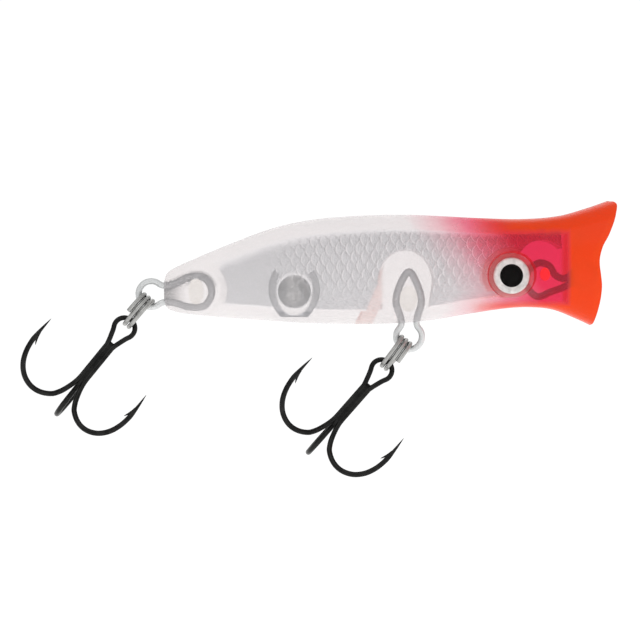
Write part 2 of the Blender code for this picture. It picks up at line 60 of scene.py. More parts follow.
# Body lines in the side view, as (x, z), and the half width, as (x, y), tail first.
BACK_LINE = [
    (-56.1, -0.8), (-55.9, 0.0), (-55.2, 0.75), (-52.7, 1.95), (-47.1, 4.3), (-41.5, 6.35), (-35.9, 7.5),
    (-28.8, 8.03), (-22.7, 8.07), (-14.0, 7.65), (-8.3, 7.53), (-3.5, 7.95), (0.2, 8.98), (3.0, 9.95),
    (5.2, 10.7),
]
BELLY_LINE = [
    (-56.1, -3.2), (-55.9, -4.0), (-55.2, -4.65), (-52.7, -5.15), (-44.3, -5.87), (-35.9, -6.38),
    (-25.8, -6.4), (-20.5, -5.95), (-15.6, -5.12), (-10.7, -4.4), (-7.5, -4.23), (-4.3, -4.56),
    (-1.0, -5.85), (0.9, -6.75), (5.2, -8.8),
]
SIDE_LINE = [
    (-56.1, 1.2), (-55.9, 1.65), (-55.2, 2.1), (-52.7, 2.7), (-47.1, 3.85), (-41.5, 4.9), (-35.0, 5.6),
    (-27.0, 5.95), (-20.0, 5.85), (-13.0, 5.5), (-8.0, 5.3), (-5.0, 5.4), (-2.0, 5.8), (1.0, 6.5),
    (5.2, 7.6),
]
SECTION_POWER = 2.3
SIDE_WALL, BACK_WALL, BELLY_WALL = 1.1, 2.0, 1.7
CHAMBER_CENTRE, CHAMBER_BORE, CHAMBER_OUTER, CHAMBER_RISE = (-38.75, -1.95), 2.45, 3.4, 0.8
CHAMBER_CURVE, CHAMBER_DEPTH = 0.13, 3.2
TAIL_BOSS_CENTRE, TAIL_BOSS_RADIUS = (-51.9, -2.05), 4.2
RIB_OUTLINE = [(-27.6, -1.4), (-26.4, -2.2), (-28.6, -7.5), (-30.4, -7.5)]
CAVITY_REAR, CAVITY_FRONT = -48.8, -3.4
CAVITY_REAR_SHARE, CAVITY_REAR_TAPER = 0.86, 3.0
RIM = [
    (2.2, 10.6), (2.95, 9.9), (3.6, 9.75), (3.9, 9.3), (3.75, 8.4), (3.35, 7.0), (2.6, 5.2), (1.85, 3.8),
    (1.45, 2.4), (1.4, 1.3), (1.55, 0.1), (1.7, -1.4), (1.6, -2.9), (1.35, -4.4), (1.0, -5.9), (0.8, -6.45),
    (0.3, -6.75), (-0.3, -7.2),
]
CUP_BACK, CUP_WIDEST, CUP_FRONT, CUP_OUTLINE_FROM = -1.7, 2.6, 5.6, 0.5
LIP = 0.65
CUP_AXIS_Z = 1.0
OUTSIDE_Y = 9.0
WELD_GAP = 0.01

# The eyes: y and radius of the boss round each socket, inside and outside, and the sizes of what it holds.
SOCKET_BOSS = (2.9, 3.62), (5.5, 4.15)
SEAT_RADIUS, SOCKET_RADIUS, SOCKET_MOUTH = 3.0, 3.02, 3.9
FOIL_RADIUS, FOIL_THICKNESS, PUPIL_RADIUS = 2.4, 0.1, 1.53
DOME_RADIUS, DOME_EDGE, DOME_RISE = 2.95, 0.35, 0.95

# Fish scales moulded on the cavity's walls: round, overlapping tailward, in rows that climb to the head.
SCALE_PITCH, SCALE_ROW, SCALE_RADIUS, SCALE_RELIEF, SCALE_LEAN = 1.33, 1.19, 1.15, 0.07, 2.3
WALL_SHARES = ("wall_share", "wall_foot", "scale_share")

# Wires in the body.
WIRE_RADIUS, WIRE_SIDES = 0.42, 24
GROOVE_CLEARANCE = 0.06
EYE_RADIUS = 1.72
EYE_OPENINGS = {"belly": 66, "tail": 74}
LINE_TIE_AXES, LINE_TIE_ARC = (1.3, 1.68), (-158, 148)
TAIL_LOOP = [(-54.8, -1.15), (-52.6, -0.15), (-50.6, -0.4), (-49.75, -2.2), (-50.7, -4.0), (-52.7, -4.2),
             (-54.8, -3.6)]
BELLY_LOOP = [(-24.6, -5.5), (-25.2, -3.4), (-24.6, -1.1), (-23.46, 0.5), (-22.4, -1.1), (-21.8, -3.4),
              (-22.35, -5.5)]
NOSE_LOOP = [(-2.6, -0.35), (-3.9, 0.0), (-4.8, 1.3), (-6.2, 1.65), (-7.6, 0.5), (-7.8, -1.3), (-6.4, -2.8),
             (-4.6, -2.2), (-2.6, -1.45)]
PINS = {
    "tail_pin": ((-51.9, -2.1), (0.95, 1.75)),
    "belly_pin": ((-23.5, -3.1), (1.15, 1.7)),
    "nose_pin": ((-5.3, 0.2), (0.65, 0.85)),
}
PIN_ROOT, PIN_REACH, PIN_CLEARANCE = 0.6, 1.2, 0.04

# Split rings and hooks, in frames whose -Z runs from the hanger to the hook.
RING_WIRE, RING_RADIUS, RING_PITCH = 0.32, 2.315, 0.7
RING_START, RING_END = -20, 825
RING_FLATNESS, RING_SQUARENESS = 0.94, 2.1
HOOK_WIRE = 0.34
HOOK_EYE_DROP, HOOK_EYE_ARC = 2.86, 1.4
SHANK_OFFSET, SHANK_TOP, SHANK_END, SHANK_GAP = 0.43, -6.0, -11.4, 0.05
BEND = [(0.1, -12.2), (0.5, -13.4), (1.25, -14.8), (2.4, -16.0), (3.9, -16.75), (5.5, -16.9), (7.1, -16.4),
        (8.35, -15.3), (9.1, -13.8), (9.4, -12.1), (9.38, -10.4), (9.25, -8.5)]
PRONG_LEAVES_SHANK = 2.0
PRONG_ANGLES = {"left": 210, "right": 330, "rear": 90}
POINT_LENGTH, FORGING = 3.6, 0.07
BARB_ROOT, BARB_TIP, BARB_RISE = 2.2, 3.9, 0.42
BARB_SUNK, BARB_RADIUS, BARB_TIP_RADIUS = 0.06, 0.22, 0.012
HOOK_LEAN = -9.5
HOOK_EXTRA_TRAIL = {"belly": 2.3, "tail": 0.6}

# The third shank stands behind the other two. The braze between them runs out over a saddle below the eye and
# a tail at the bend.
REAR_SHANK = sqrt((2 * HOOK_WIRE + SHANK_GAP) ** 2 - SHANK_OFFSET**2)
BRAZE_TOP, BRAZE_SADDLE = SHANK_TOP + 0.6, 0.7
BRAZE_END, BRAZE_TAIL = SHANK_END - 1.3, 1.1
BRAZE_CORE, BRAZE_FRONT, BRAZE_BACK = 0.06, 0.235, REAR_SHANK + 0.14
BRAZE_SPREAD, BRAZE_FLARE = SHANK_OFFSET + 0.2, 0.22

# The dye runs from the mouth to the back of the eye. It is pink where it is thin, and orange along the back
# and the belly and all round the mouth. Each pair is where a change starts and where it ends.
DYE_START, DYE_FULL = -17.0, -5.0
DYE_MIDDLE_Z, DYE_SLANT, DYE_MOTTLE, ORANGE_MOTTLE = -2.2, 0.72, 2.5, 0.8
ORANGE_MOUTH, ORANGE_EDGE = (-3.0, -2.1), (-16.0, -9.0)
ORANGE_ABOVE, ORANGE_BELOW = (4.9, 6.4), (-3.2, -4.3)

# What shows inside the plastic: specks of trapped air, dark at the tail wire's entry and crown, and the
# slanted rib. Lines run from one (x, z) to another.
SPECKS = (4.5, 5.0, 0.75)
TAIL_WIRE_ENTRY = (-56.2, -1.6), (-53.0, -0.3)
TAIL_WIRE_CROWN = (-51.7, -2.1), 2.1
RIB_MIDDLE = (-27.4, -2.0), (-29.6, -6.6)
RIB_SHADE = (-28.6, -2.0), (-30.8, -6.6)
PLASTIC_IOR, GRAIN_DEPTH = 1.3, 0.02

# The stage. The first strength of the sky is what is seen, and the second is what lights the lure.
CAMERA_DISTANCE, VIEW_WIDTH, SENSOR = 420.0, 85.33, 36.0
VIEW_CENTRE = (-35.33, -5.93)
FLOOR_Z, FLOOR_RADIUS, FLOOR_GLOW = -75, 2600, 0.5
SKY_SEEN, SKY_LIGHT, WHITE = 1.05, 0.62, (1, 1, 1, 1)
LAMPS = {
    "key": ((-220, -330, 420), (420, 420), 0.65),
    "fill": ((330, -380, 60), (400, 400), 0.25),
    "rim": ((0, 420, 300), (400, 300), 0.35),
}


# Curves and outlines.


def hermite(points, x):
    """The value at x of a smooth curve through (x, value) points."""
    last = len(points) - 1
    i = next((k for k in range(last) if x <= points[k + 1][0]), last - 1)

    def slope(k):
        a, b = points[max(k - 1, 0)], points[min(k + 1, last)]
        return (b[1] - a[1]) / (b[0] - a[0])

    (x0, y0), (x1, y1) = points[i], points[i + 1]
    span = x1 - x0
    t = min(max((x - x0) / span, 0.0), 1.0)
    return (
        (2 * t**3 - 3 * t**2 + 1) * y0
        + (t**3 - 2 * t**2 + t) * span * slope(i)
        + (3 * t**2 - 2 * t**3) * y1
        + (t**3 - t**2) * span * slope(i + 1)
    )


def smooth_path(points, steps=8):
    """Points of a Catmull-Rom curve through the given points, steps to a span."""
    points = [Vector(p) for p in points]
    path = []
    for i in range(len(points) - 1):
        p1, p2 = points[i], points[i + 1]
        p0 = points[i - 1] if i else p1 * 2 - p2
        p3 = points[i + 2] if i + 2 < len(points) else p2 * 2 - p1
        for k in range(steps):
            t = k / steps
            bend, twist = 2 * p0 - 5 * p1 + 4 * p2 - p3, 3 * p1 - p0 - 3 * p2 + p3
            path.append(0.5 * (2 * p1 + (p2 - p0) * t + bend * t**2 + twist * t**3))
    return [tuple(p) for p in (*path, points[-1])]


def ellipse(centre, axes, start=0, end=360, steps=64):
    """Points along part of an ellipse, with both ends unless it is whole."""
    whole = abs(end - start) >= 360
    angles = [radians(start + (end - start) * i / steps) for i in range(steps if whole else steps + 1)]
    return [(centre[0] + axes[0] * cos(a), centre[1] + axes[1] * sin(a)) for a in angles]


def smoothstep(low, high, value):
    t = min(max((value - low) / (high - low), 0.0), 1.0)
    return t * t * (3 - 2 * t)


def looped(eye, axes, start, end, loop):
    """A closed path round an open eye and on through the loop's points, and where the two meet."""
    around = ellipse(eye, axes, start, end, 56)
    inner = smooth_path([around[-1], *loop, around[0]])
    return [(x, 0, z) for x, z in inner[:-1] + around[:-1]], (around[0], around[-1])


def eased(path, corners, reach=0.9):
    """A closed path with its corners rounded over a short reach."""
    path = [Vector(p) for p in path]
    corners = [Vector((x, 0, z)) for x, z in corners]
    near = [i for i, p in enumerate(path) if min((p - corner).length for corner in corners) < reach]
    for _ in range(10):
        moved = {i: (path[i - 1] + path[i] * 2 + path[(i + 1) % len(path)]) / 4 for i in near}
        for i, p in moved.items():
            path[i] = p
    return path


def along_rows(x, z):
    """How far along the rows of scales a point lies, and how far across them. x and z may be fields."""
    lean = radians(SCALE_LEAN)
    return x * cos(lean) + z * sin(lean), z * cos(lean) - x * sin(lean)


def superellipse(angle, power):
    """A point on a curve between an ellipse, at power 2, and a box."""
    c, s = cos(angle), sin(angle)
    return copysign(abs(c) ** (2 / power), c), copysign(abs(s) ** (2 / power), s)


# Mesh makers.


def new_object(name, mesh):
    made = bpy.data.objects.new(name, mesh)
    bpy.context.scene.collection.objects.link(made)
    return made


def finish_mesh(name, bm, *materials, sharp=40):
    bmesh.ops.recalc_face_normals(bm, faces=bm.faces)
    mesh = bpy.data.meshes.new(name)
    bm.to_mesh(mesh)
    bm.free()
    for material in materials:
        mesh.materials.append(material)
    mesh.shade_smooth()
    mesh.set_sharp_from_angle(angle=radians(sharp))
    return new_object(name, mesh)


def bridge(bm, rings):
    """Faces from each ring of points to the next. A ring may be a single point."""
    for a, b in zip(rings, rings[1:]):
        count = max(len(a), len(b))
        for i in range(count):
            j = (i + 1) % count
            corners = (a[i % len(a)], a[j % len(a)], b[j % len(b)], b[i % len(b)])
            bm.faces.new(list(dict.fromkeys(corners)))


def loft(name, sections, material):
    """A closed solid through rings of points, which all have the same count."""
    bm = bmesh.new()
    rings = [[bm.verts.new(Vector(p) * MM) for p in section] for section in sections]
    bridge(bm, rings)
    bm.faces.new(rings[0])
    bm.faces.new(rings[-1])
    return finish_mesh(name, bm, material)


def prism(name, outline, near, far, material, draft=0.0):
    """An outline in the XZ plane, extruded from y near to y far. draft widens it away from the middle."""
    middle = Vector((sum(p[0] for p in outline), 0, sum(p[1] for p in outline))) / len(outline)
    stations = [near, 0.0, far] if draft else [near, far]
    sections = []
    for y in stations:
        ring = []
        for i, (x, z) in enumerate(outline):
            before, after = outline[i - 1], outline[(i + 1) % len(outline)]
            along = Vector((after[0] - before[0], 0, after[1] - before[1])).normalized()
            outward = Vector((along.z, 0, -along.x))
            if outward.dot(Vector((x, 0, z)) - middle) < 0:
                outward = -outward
            ring.append(Vector((x, y, z)) + outward * draft * abs(y))
        sections.append(ring)
    return loft(name, sections, material)


def cone(name, centre, near, far, material):
    """A round solid along Y, from y and radius near to y and radius far."""
    sections = []
    for y, radius in (near, far):
        sections.append([(x, y, z) for x, z in ellipse(centre, (radius, radius), steps=96)])
    return loft(name, sections, material)


def sweep(bm, path, radii, sides, closed=False, squareness=2.0, across=None, flatness=1.0):
    """Adds a tube along a path. across, where given, keeps the section turned the same way about the path,
    and flatness is how wide the section is that way."""
    points = [Vector(p) for p in path]
    count = len(points)
    rings, side = [], None
    for i, point in enumerate(points):
        after = points[(i + 1) % count] if closed or i + 1 < count else points[i]
        before = points[i - 1] if closed or i else points[i]
        along = (after - before).normalized()
        if across is not None:
            side = Vector(across)
        elif side is None:
            side = along.orthogonal()
        side = (side - along * side.dot(along)).normalized()
        up = along.cross(side)
        ring = []
        for k in range(sides):
            u, v = superellipse(2 * pi * k / sides, squareness)
            ring.append(bm.verts.new((point + (side * u * flatness + up * v) * radii[i]) * MM))
        rings.append(ring)
    bridge(bm, rings + rings[:1] if closed else rings)
    if not closed:
        bm.faces.new(rings[0])
        bm.faces.new(rings[-1])


def wire(name, path, radius, material, closed=True, **options):
    bm = bmesh.new()
    sweep(bm, path, [radius] * len(path), WIRE_SIDES, closed, **options)
    return finish_mesh(name, bm, material)


# Nodes and materials.


class Field:
    """A shader value that varies over a surface, and adds, scales and compares like a number."""

    def __init__(self, material, socket):
        self.material, self.socket = material, socket

    def maths(self, operation, *others):
        made = node(self.material, "ShaderNodeMath", dict(enumerate((self, *others))), operation=operation)
        return Field(self.material, made.outputs[0])

    __add__ = partialmethod(maths, "ADD")
    __sub__ = partialmethod(maths, "SUBTRACT")
    __mul__ = partialmethod(maths, "MULTIPLY")
    __truediv__ = partialmethod(maths, "DIVIDE")
    __pow__ = partialmethod(maths, "POWER")
    __abs__ = partialmethod(maths, "ABSOLUTE")
    sqrt = partialmethod(maths, "SQRT")
    max = partialmethod(maths, "MAXIMUM")

    def within(self, low, high, to_low=0.0, to_high=1.0, smooth=True):
        """0 up to low and 1 from high on, or to_low and to_high. low may be the greater."""
        kind = "SMOOTHSTEP" if smooth else "LINEAR"
        inputs = {"Value": self, "From Min": low, "From Max": high, "To Min": to_low, "To Max": to_high}
        made = node(self.material, "ShaderNodeMapRange", inputs, interpolation_type=kind)
        return Field(self.material, made.outputs["Result"])

    def ramp(self, stops):
        """The colour, or the number, of the (position, value) stops at this value."""
        made = node(self.material, "ShaderNodeValToRGB", {"Fac": self})
        elements = made.color_ramp.elements
        while len(elements) < len(stops):
            elements.new(0.5)
        for element, (position, value) in zip(elements, stops):
            element.position = position
            element.color = rgba(value if isinstance(value, tuple) else (value,) * 3)
        return Field(self.material, made.outputs["Color"])

    def mix(self, first, second):
        """The first colour where this is 0, and the second where it is 1."""
        first, second = (rgba(colour) if isinstance(colour, tuple) else colour for colour in (first, second))
        inputs = {0: self, 6: first, 7: second}
        made = node(self.material, "ShaderNodeMix", inputs, data_type="RGBA")
        return Field(self.material, made.outputs[2])


def node(material, kind, inputs=None, **settings):
    """A node whose inputs are linked to fields or sockets, or set to values."""
    tree = material.node_tree
    made = tree.nodes.new(kind)
    for name, value in settings.items():
        setattr(made, name, value)
    for name, value in (inputs or {}).items():
        if isinstance(value, Field):
            value = value.socket
        if isinstance(value, bpy.types.NodeSocket):
            tree.links.new(value, made.inputs[name])
        else:
            made.inputs[name].default_value = value
    return made


def new_material(name):
    made = bpy.data.materials.new(name)
    made.use_nodes = True
    made.node_tree.nodes.clear()
    return made


def rgba(colour):
    return (*colour, 1.0)


def place(material):
    """X, Y and Z on the piece, in millimetres, and the same as a vector."""
    coordinates = node(material, "ShaderNodeTexCoord").outputs["Object"]
    scaled = node(material, "ShaderNodeVectorMath", {0: coordinates, "Scale": 1 / MM}, operation="SCALE")
    apart = node(material, "ShaderNodeSeparateXYZ", {0: scaled.outputs[0]})
    return [Field(material, socket) for socket in (*apart.outputs, scaled.outputs[0])]


def speckle(vector, scale, detail=3.0, roughness=0.6):
    inputs = {"Vector": vector, "Scale": scale, "Detail": detail, "Roughness": roughness}
    return Field(vector.material, node(vector.material, "ShaderNodeTexNoise", inputs).outputs["Fac"])


def attribute(material, name):
    return Field(material, node(material, "ShaderNodeAttribute", attribute_name=name).outputs["Fac"])


def edge_on(material):
    """0 where a face looks straight out, and 1 where it is seen edge on."""
    return Field(material, node(material, "ShaderNodeLayerWeight", {"Blend": 0.5}).outputs["Facing"])


def relief_and_shine(grain, strength, roughness):
    """The normal and the roughness that a fine grain gives."""
    inputs = {"Height": grain, "Strength": strength, "Distance": GRAIN_DEPTH * MM}
    bump = node(grain.material, "ShaderNodeBump", inputs)
    return {"Normal": bump.outputs[0], "Roughness": grain.within(0.3, 0.7, roughness * 0.75, roughness * 1.3)}


def output(material, shader):
    node(material, "ShaderNodeOutputMaterial", {"Surface": shader.outputs[0]})
    return material


def dye(x, z, vector):
    """How deep in the dye a point lies, from 0 on the clear tail to 1 at the mouth, and how orange it is."""
    mottle = speckle(vector, 0.7, 4.0) - 0.5
    along = abs(z - DYE_MIDDLE_Z) * DYE_SLANT + x + mottle * DYE_MOTTLE
    depth = along.within(DYE_START, DYE_FULL, smooth=False)
    back_or_belly = (mottle * ORANGE_MOTTLE + z).within(*ORANGE_ABOVE).max(z.within(*ORANGE_BELOW))
    return depth, (back_or_belly * x.within(*ORANGE_EDGE)).max(x.within(*ORANGE_MOUTH))


def veil(material, colour, tint, hidden, roughness, specular, grain, glow=0):
    """Plastic that hides only a share of what is behind it, and passes the rest tinted."""
    inputs = {"Base Color": colour, "Specular IOR Level": specular, "IOR": PLASTIC_IOR}
    if glow:
        inputs |= {"Emission Color": colour, "Emission Strength": glow}
    inputs |= relief_and_shine(grain, 0.05, roughness)
    body = node(material, "ShaderNodeBsdfPrincipled", inputs)
    through = node(material, "ShaderNodeBsdfTransparent", {"Color": tint})
    share = node(material, "ShaderNodeClamp", {"Value": hidden}).outputs[0]
    shaders = {0: share, 1: through.outputs[0], 2: body.outputs[0]}
    return output(material, node(material, "ShaderNodeMixShader", shaders))


def clear_surface(name, colours, tints, hides, roughness, edge, orange=(), specular=0.5, marks=None, glow=0):
    """See-through plastic. Each list gives stops along the dye: what the surface scatters, what it lets
    through and how much it hides. orange gives the same three where the dye is orange, and edge the power and
    the strength of what is added where the surface is seen edge on."""
    material = new_material(name)
    x, _, z, vector = place(material)
    depth, warm = dye(x, z, vector)
    looks = [depth.ramp(stops) for stops in (colours, tints, hides)]
    if orange:
        looks = [warm.mix(look, tone) for look, tone in zip(looks, orange)]
    colour, tint, hidden = looks
    grain = speckle(vector, 4.0, 4.0)
    power, strength = edge
    hidden = (grain - 0.5) * 0.03 + (edge_on(material) ** power * strength + hidden)
    if marks:
        colour, tint, hidden = marks(x, z, vector, colour, tint, hidden)
    return veil(material, colour, tint, hidden, roughness, specular, grain, glow)


def fish_scales(x, z):
    """Distance, in mm, from the free edge of the top scale, in rows of round scales that overlap tailward."""
    u, v = along_rows(x, z)
    row = (v / SCALE_ROW).maths("ROUND")
    best = edge = None
    for step in (-1, 0, 1):
        this = row + step
        aside = v - this * SCALE_ROW
        reach = u + (aside * aside * -1.0 + SCALE_RADIUS**2).max(0.0).sqrt()
        shift = this.maths("FLOORED_MODULO", 2.0) * (SCALE_PITCH / 2)
        inside = ((reach - shift) / SCALE_PITCH).maths("FRACT") * SCALE_PITCH
        centre = reach - inside
        if best is None:
            best, edge = centre, inside
            continue
        edge = centre.maths("GREATER_THAN", best) * (inside - edge) + edge
        best = best.max(centre)
    return edge


def distance_from(x, z, centre):
    dx, dz = x - centre[0], z - centre[1]
    return (dx * dx + dz * dz).sqrt()


def scale_marks(x, z, vector, colour, tint, hidden):
    """A painted highlight on the free edge of each scale, and the painted shadow that the edge throws on the
    next.
    The wall fades out where it turns over to the cavity's roof, its foot is a painted highlight line, and in
    front of the ball it is clearer."""
    present, foot, scales = (attribute(x.material, name) for name in WALL_SHARES)
    scales = scales * speckle(vector, 0.9, 2.0).within(0.25, 0.55, 0.55, 1.0)
    # Masks for a painted highlight on each scale's free edge and the painted shadow just behind it.
    bright = fish_scales(x, z).within(0.18, 0.05) * scales
    dark = fish_scales(x + 0.2, z).within(0.22, 0.05) * scales
    thin = distance_from(x, z, CHAMBER_CENTRE).within(CHAMBER_BORE + 0.1, CHAMBER_BORE - 0.15)
    colour = (dark * 0.8).mix(colour, (0.2, 0.17, 0.18))
    # The painted highlight also runs along the wall's foot.
    colour = bright.max(foot).mix(colour, (1.0, 0.97, 0.97))
    tint = (thin * 0.6).mix(present.mix((0.985, 0.972, 0.975), tint), (0.97, 0.96, 0.96))
    hidden = hidden * present.within(0.0, 1.0, 0.12, 1.0, smooth=False)
    return colour, tint, hidden + bright.max(dark).max(foot) * 0.3 - thin * 0.36


def channel_marks(x, z, vector, colour, tint, hidden):
    """Specks of trapped air on the wires, with dark ones over the top of the tail's."""
    specks = speckle(vector, *SPECKS).within(0.48, 0.64)
    soot = specks * x.within(-49.4, -50.4) * z.within(-2.4, -1.2)
    return soot.mix(colour, (0.06, 0.055, 0.07)), tint, hidden + soot * 0.7 + specks * 0.35


def weld_marks(x, z, vector, colour, tint, hidden):
    """What shows in the solid plastic: dark air round the tail wire, the tail's root, a bright halo of
    painted highlight inside its boss, the rattle chamber's wall with painted shade at its edges and lower
    corners and a painted highlight along its bore, and the rib."""

    def from_line(start, end):
        (x0, z0), (x1, z1) = start, end
        length = hypot(x1 - x0, z1 - z0)
        return abs(x * ((z1 - z0) / length) + z * ((x0 - x1) / length) + (x1 * z0 - x0 * z1) / length)

    specks = speckle(vector, *SPECKS).within(0.4, 0.56)
    entry = from_line(*TAIL_WIRE_ENTRY).within(0.9, 0.3) * x.within(-52.7, -53.3)
    crown_centre, crown_radius = TAIL_WIRE_CROWN
    crown = abs(distance_from(x, z, crown_centre) - crown_radius).within(0.9, 0.3)
    crown = crown * z.within(-1.9, -1.0) * x.within(-53.5, -52.9)
    soot = entry.max(crown) * specks
    root = x.within(-52.6, -55.6) * abs(z + 2.2).within(1.5, 0.9)
    # Painted highlight: a bright band just inside the tail boss's edge, on the side towards the cavity.
    reach = distance_from(x, z, TAIL_BOSS_CENTRE)
    halo = reach.within(TAIL_BOSS_RADIUS - 1.0, TAIL_BOSS_RADIUS - 0.7) * x.within(-51.0, -49.0)
    halo = halo * reach.within(TAIL_BOSS_RADIUS + 0.3, TAIL_BOSS_RADIUS - 0.1)

    below = (z - CHAMBER_CENTRE[1]) * -1.0
    aside, down, up = abs(x - CHAMBER_CENTRE[0]), below.max(0.0), (below * -1.0).max(0.0)
    wall = down * down * CHAMBER_CURVE + aside
    axes = (aside, CHAMBER_BORE), (down, CHAMBER_DEPTH), (up, CHAMBER_BORE + CHAMBER_RISE)
    across, deep, high = ((length / axis) ** 2.0 for length, axis in axes)
    bore = (across + deep + high).sqrt()
    # Painted shade at the chamber wall's outer edge, foot and lower corners; painted highlight along its
    # bore.
    upright = below.within(3.6, 3.54) * below.within(-3.0, -2.9)
    near = wall.within(CHAMBER_OUTER + 0.03, CHAMBER_OUTER - 0.03) * upright
    arms = near * bore.within(1.0, 1.05)
    outline = abs(wall - CHAMBER_OUTER).within(0.13, 0.05) * upright
    foot = abs(below - 3.5).within(0.11, 0.04) * near
    corner = arms * below.within(2.7, 3.0) * aside.within(1.0, 1.5)
    inner = abs(bore - 1.02).within(0.05, 0.02) * wall.within(3.2, 3.1) * upright

    rib = from_line(*RIB_MIDDLE).within(1.15, 0.95) * x.within(-26.6, -27.4) * x.within(-32.0, -31.5)
    shade = rib * from_line(*RIB_SHADE).within(0.7, 0.0)
    for share, tone, weight in (
        (rib, (0.84, 0.52, 0.46), 0.24), (shade, (0.7, 0.36, 0.32), 0.16),
        (halo, (0.97, 0.95, 0.94), 0.3), (arms, (0.25, 0.25, 0.285), 0.42),
        (corner, (0.12, 0.12, 0.14), 0.25), (outline, (0.1, 0.1, 0.12), 0.3),
        (foot, (0.1, 0.1, 0.12), 0.3), (inner, (0.97, 0.95, 0.95), 0.4),
        (root, (0.22, 0.2, 0.2), 0.5), (soot, (0.1, 0.095, 0.11), 0.85),
    ):
        colour = share.mix(colour, tone)
        hidden = share * weight + hidden
    return colour, tint, hidden


# Each see-through plastic: colours, tints, what it hides, roughness, edge, and anything more.
PLASTICS = {
    "outer_skin": (
        [(0.0, (0.955, 0.945, 0.95)), (0.3, (0.95, 0.8, 0.82)), (0.6, (0.94, 0.42, 0.5)),
         (1.0, (0.88, 0.11, 0.18))],
        [(0.0, (0.972, 0.965, 0.967)), (0.3, (0.975, 0.88, 0.9)), (0.6, (0.965, 0.56, 0.66)),
         (1.0, (0.95, 0.25, 0.41))],
        [(0.0, 0.27), (0.3, 0.28), (0.6, 0.26), (1.0, 0.2)],
        0.22, (3.0, 0.22), {"specular": 0.22,
                            "orange": ((0.93, 0.085, 0.018), (0.97, 0.22, 0.07), (0.66,) * 3)},
    ),
    "cavity_wall": (
        [(0.0, (0.53, 0.53, 0.54)), (0.35, (0.6, 0.45, 0.49)), (0.6, (0.68, 0.22, 0.29)),
         (1.0, (0.55, 0.03, 0.05))],
        [(0.0, (0.88, 0.87, 0.88)), (0.5, (0.9, 0.66, 0.72)), (1.0, (0.88, 0.35, 0.4))],
        [(0.0, 0.44), (0.5, 0.38), (1.0, 0.34)],
        0.35, (3.0, 0.15), {"specular": 0.3, "marks": scale_marks},
    ),
    "boss_side": (
        [(0.0, (0.6, 0.55, 0.56)), (0.4, (0.7, 0.42, 0.42)), (1.0, (0.7, 0.03, 0.09))],
        [(0.0, (0.88, 0.85, 0.86)), (1.0, (0.92, 0.3, 0.4))],
        [(0.0, 0.35), (1.0, 0.35)],
        0.25, (2.0, 0.4), {},
    ),
    "chamber_side": (
        [(0.0, (0.34, 0.33, 0.35)), (1.0, (0.5, 0.3, 0.3))],
        [(0.0, (0.8, 0.8, 0.82)), (1.0, (0.8, 0.5, 0.5))],
        [(0.0, 0.4), (1.0, 0.4)],
        0.2, (2.0, 0.2), {},
    ),
    "rib_side": (
        [(0.0, (0.82, 0.62, 0.6)), (1.0, (0.8, 0.3, 0.3))],
        [(0.0, (0.92, 0.82, 0.82)), (1.0, (0.9, 0.5, 0.5))],
        [(0.0, 0.4), (1.0, 0.4)],
        0.2, (2.0, 0.2), {},
    ),
    # The sloping wall round each eye, which reads as a red line.
    "socket_rim": (
        [(0.0, (0.8, 0.22, 0.24)), (1.0, (0.8, 0.03, 0.05))],
        [(0.0, (0.92, 0.55, 0.55)), (1.0, (0.92, 0.2, 0.2))],
        [(0.0, 0.55), (1.0, 0.6)],
        0.2, (2.0, 0.2), {},
    ),
    # The wall of a wire's channel, which darkens where the plastic bends the light past the wire.
    "wire_channel": (
        [(0.0, (0.13, 0.115, 0.125)), (0.6, (0.36, 0.03, 0.05)), (1.0, (0.42, 0.008, 0.025))],
        [(0.0, (0.8, 0.78, 0.79)), (0.6, (0.75, 0.25, 0.3)), (1.0, (0.72, 0.06, 0.1))],
        [(0.0, 0.06), (0.7, 0.12), (1.0, 0.5)],
        0.25, (1.5, 0.9), {"specular": 0.3, "marks": channel_marks},
    ),
    "eye_socket": (
        [(0.0, (0.8, 0.55, 0.55)), (0.5, (0.86, 0.45, 0.46)), (1.0, (0.8, 0.16, 0.18))],
        [(0.0, (0.93, 0.85, 0.85)), (1.0, (0.92, 0.5, 0.5))],
        [(0.0, 0.42), (1.0, 0.5)],
        0.2, (2.0, 0.3), {},
    ),
    # A solid pillar between the shells, which pipes light from both sides; its glow is painted light standing
    # in for that.
    "locating_pin": (
        [(0.0, (0.8, 0.775, 0.75)), (0.6, (0.92, 0.4, 0.35)), (1.0, (1.0, 0.16, 0.02))],
        [(0.0, (0.97, 0.95, 0.93)), (1.0, (0.97, 0.22, 0.06))],
        [(0.0, 0.8), (1.0, 0.92)],
        0.25, (2.0, 0.0), {"glow": 0.2},
    ),
    # The welded joint inside the solid plastic, which shows as a faint haze.
    "weld_face": (
        [(0.0, (0.86, 0.8, 0.78)), (0.5, (0.88, 0.5, 0.5)), (1.0, (0.85, 0.05, 0.14))],
        [(0.0, (0.978, 0.965, 0.962)), (0.5, (0.97, 0.8, 0.82)), (1.0, (0.97, 0.62, 0.74))],
        [(0.0, 0.1), (1.0, 0.06)],
        0.4, (3.0, 0.0), {"specular": 0.1, "marks": weld_marks,
                          "orange": ((0.85, 0.09, 0.02), (0.97, 0.55, 0.35), (0.12,) * 3)},
    ),
}


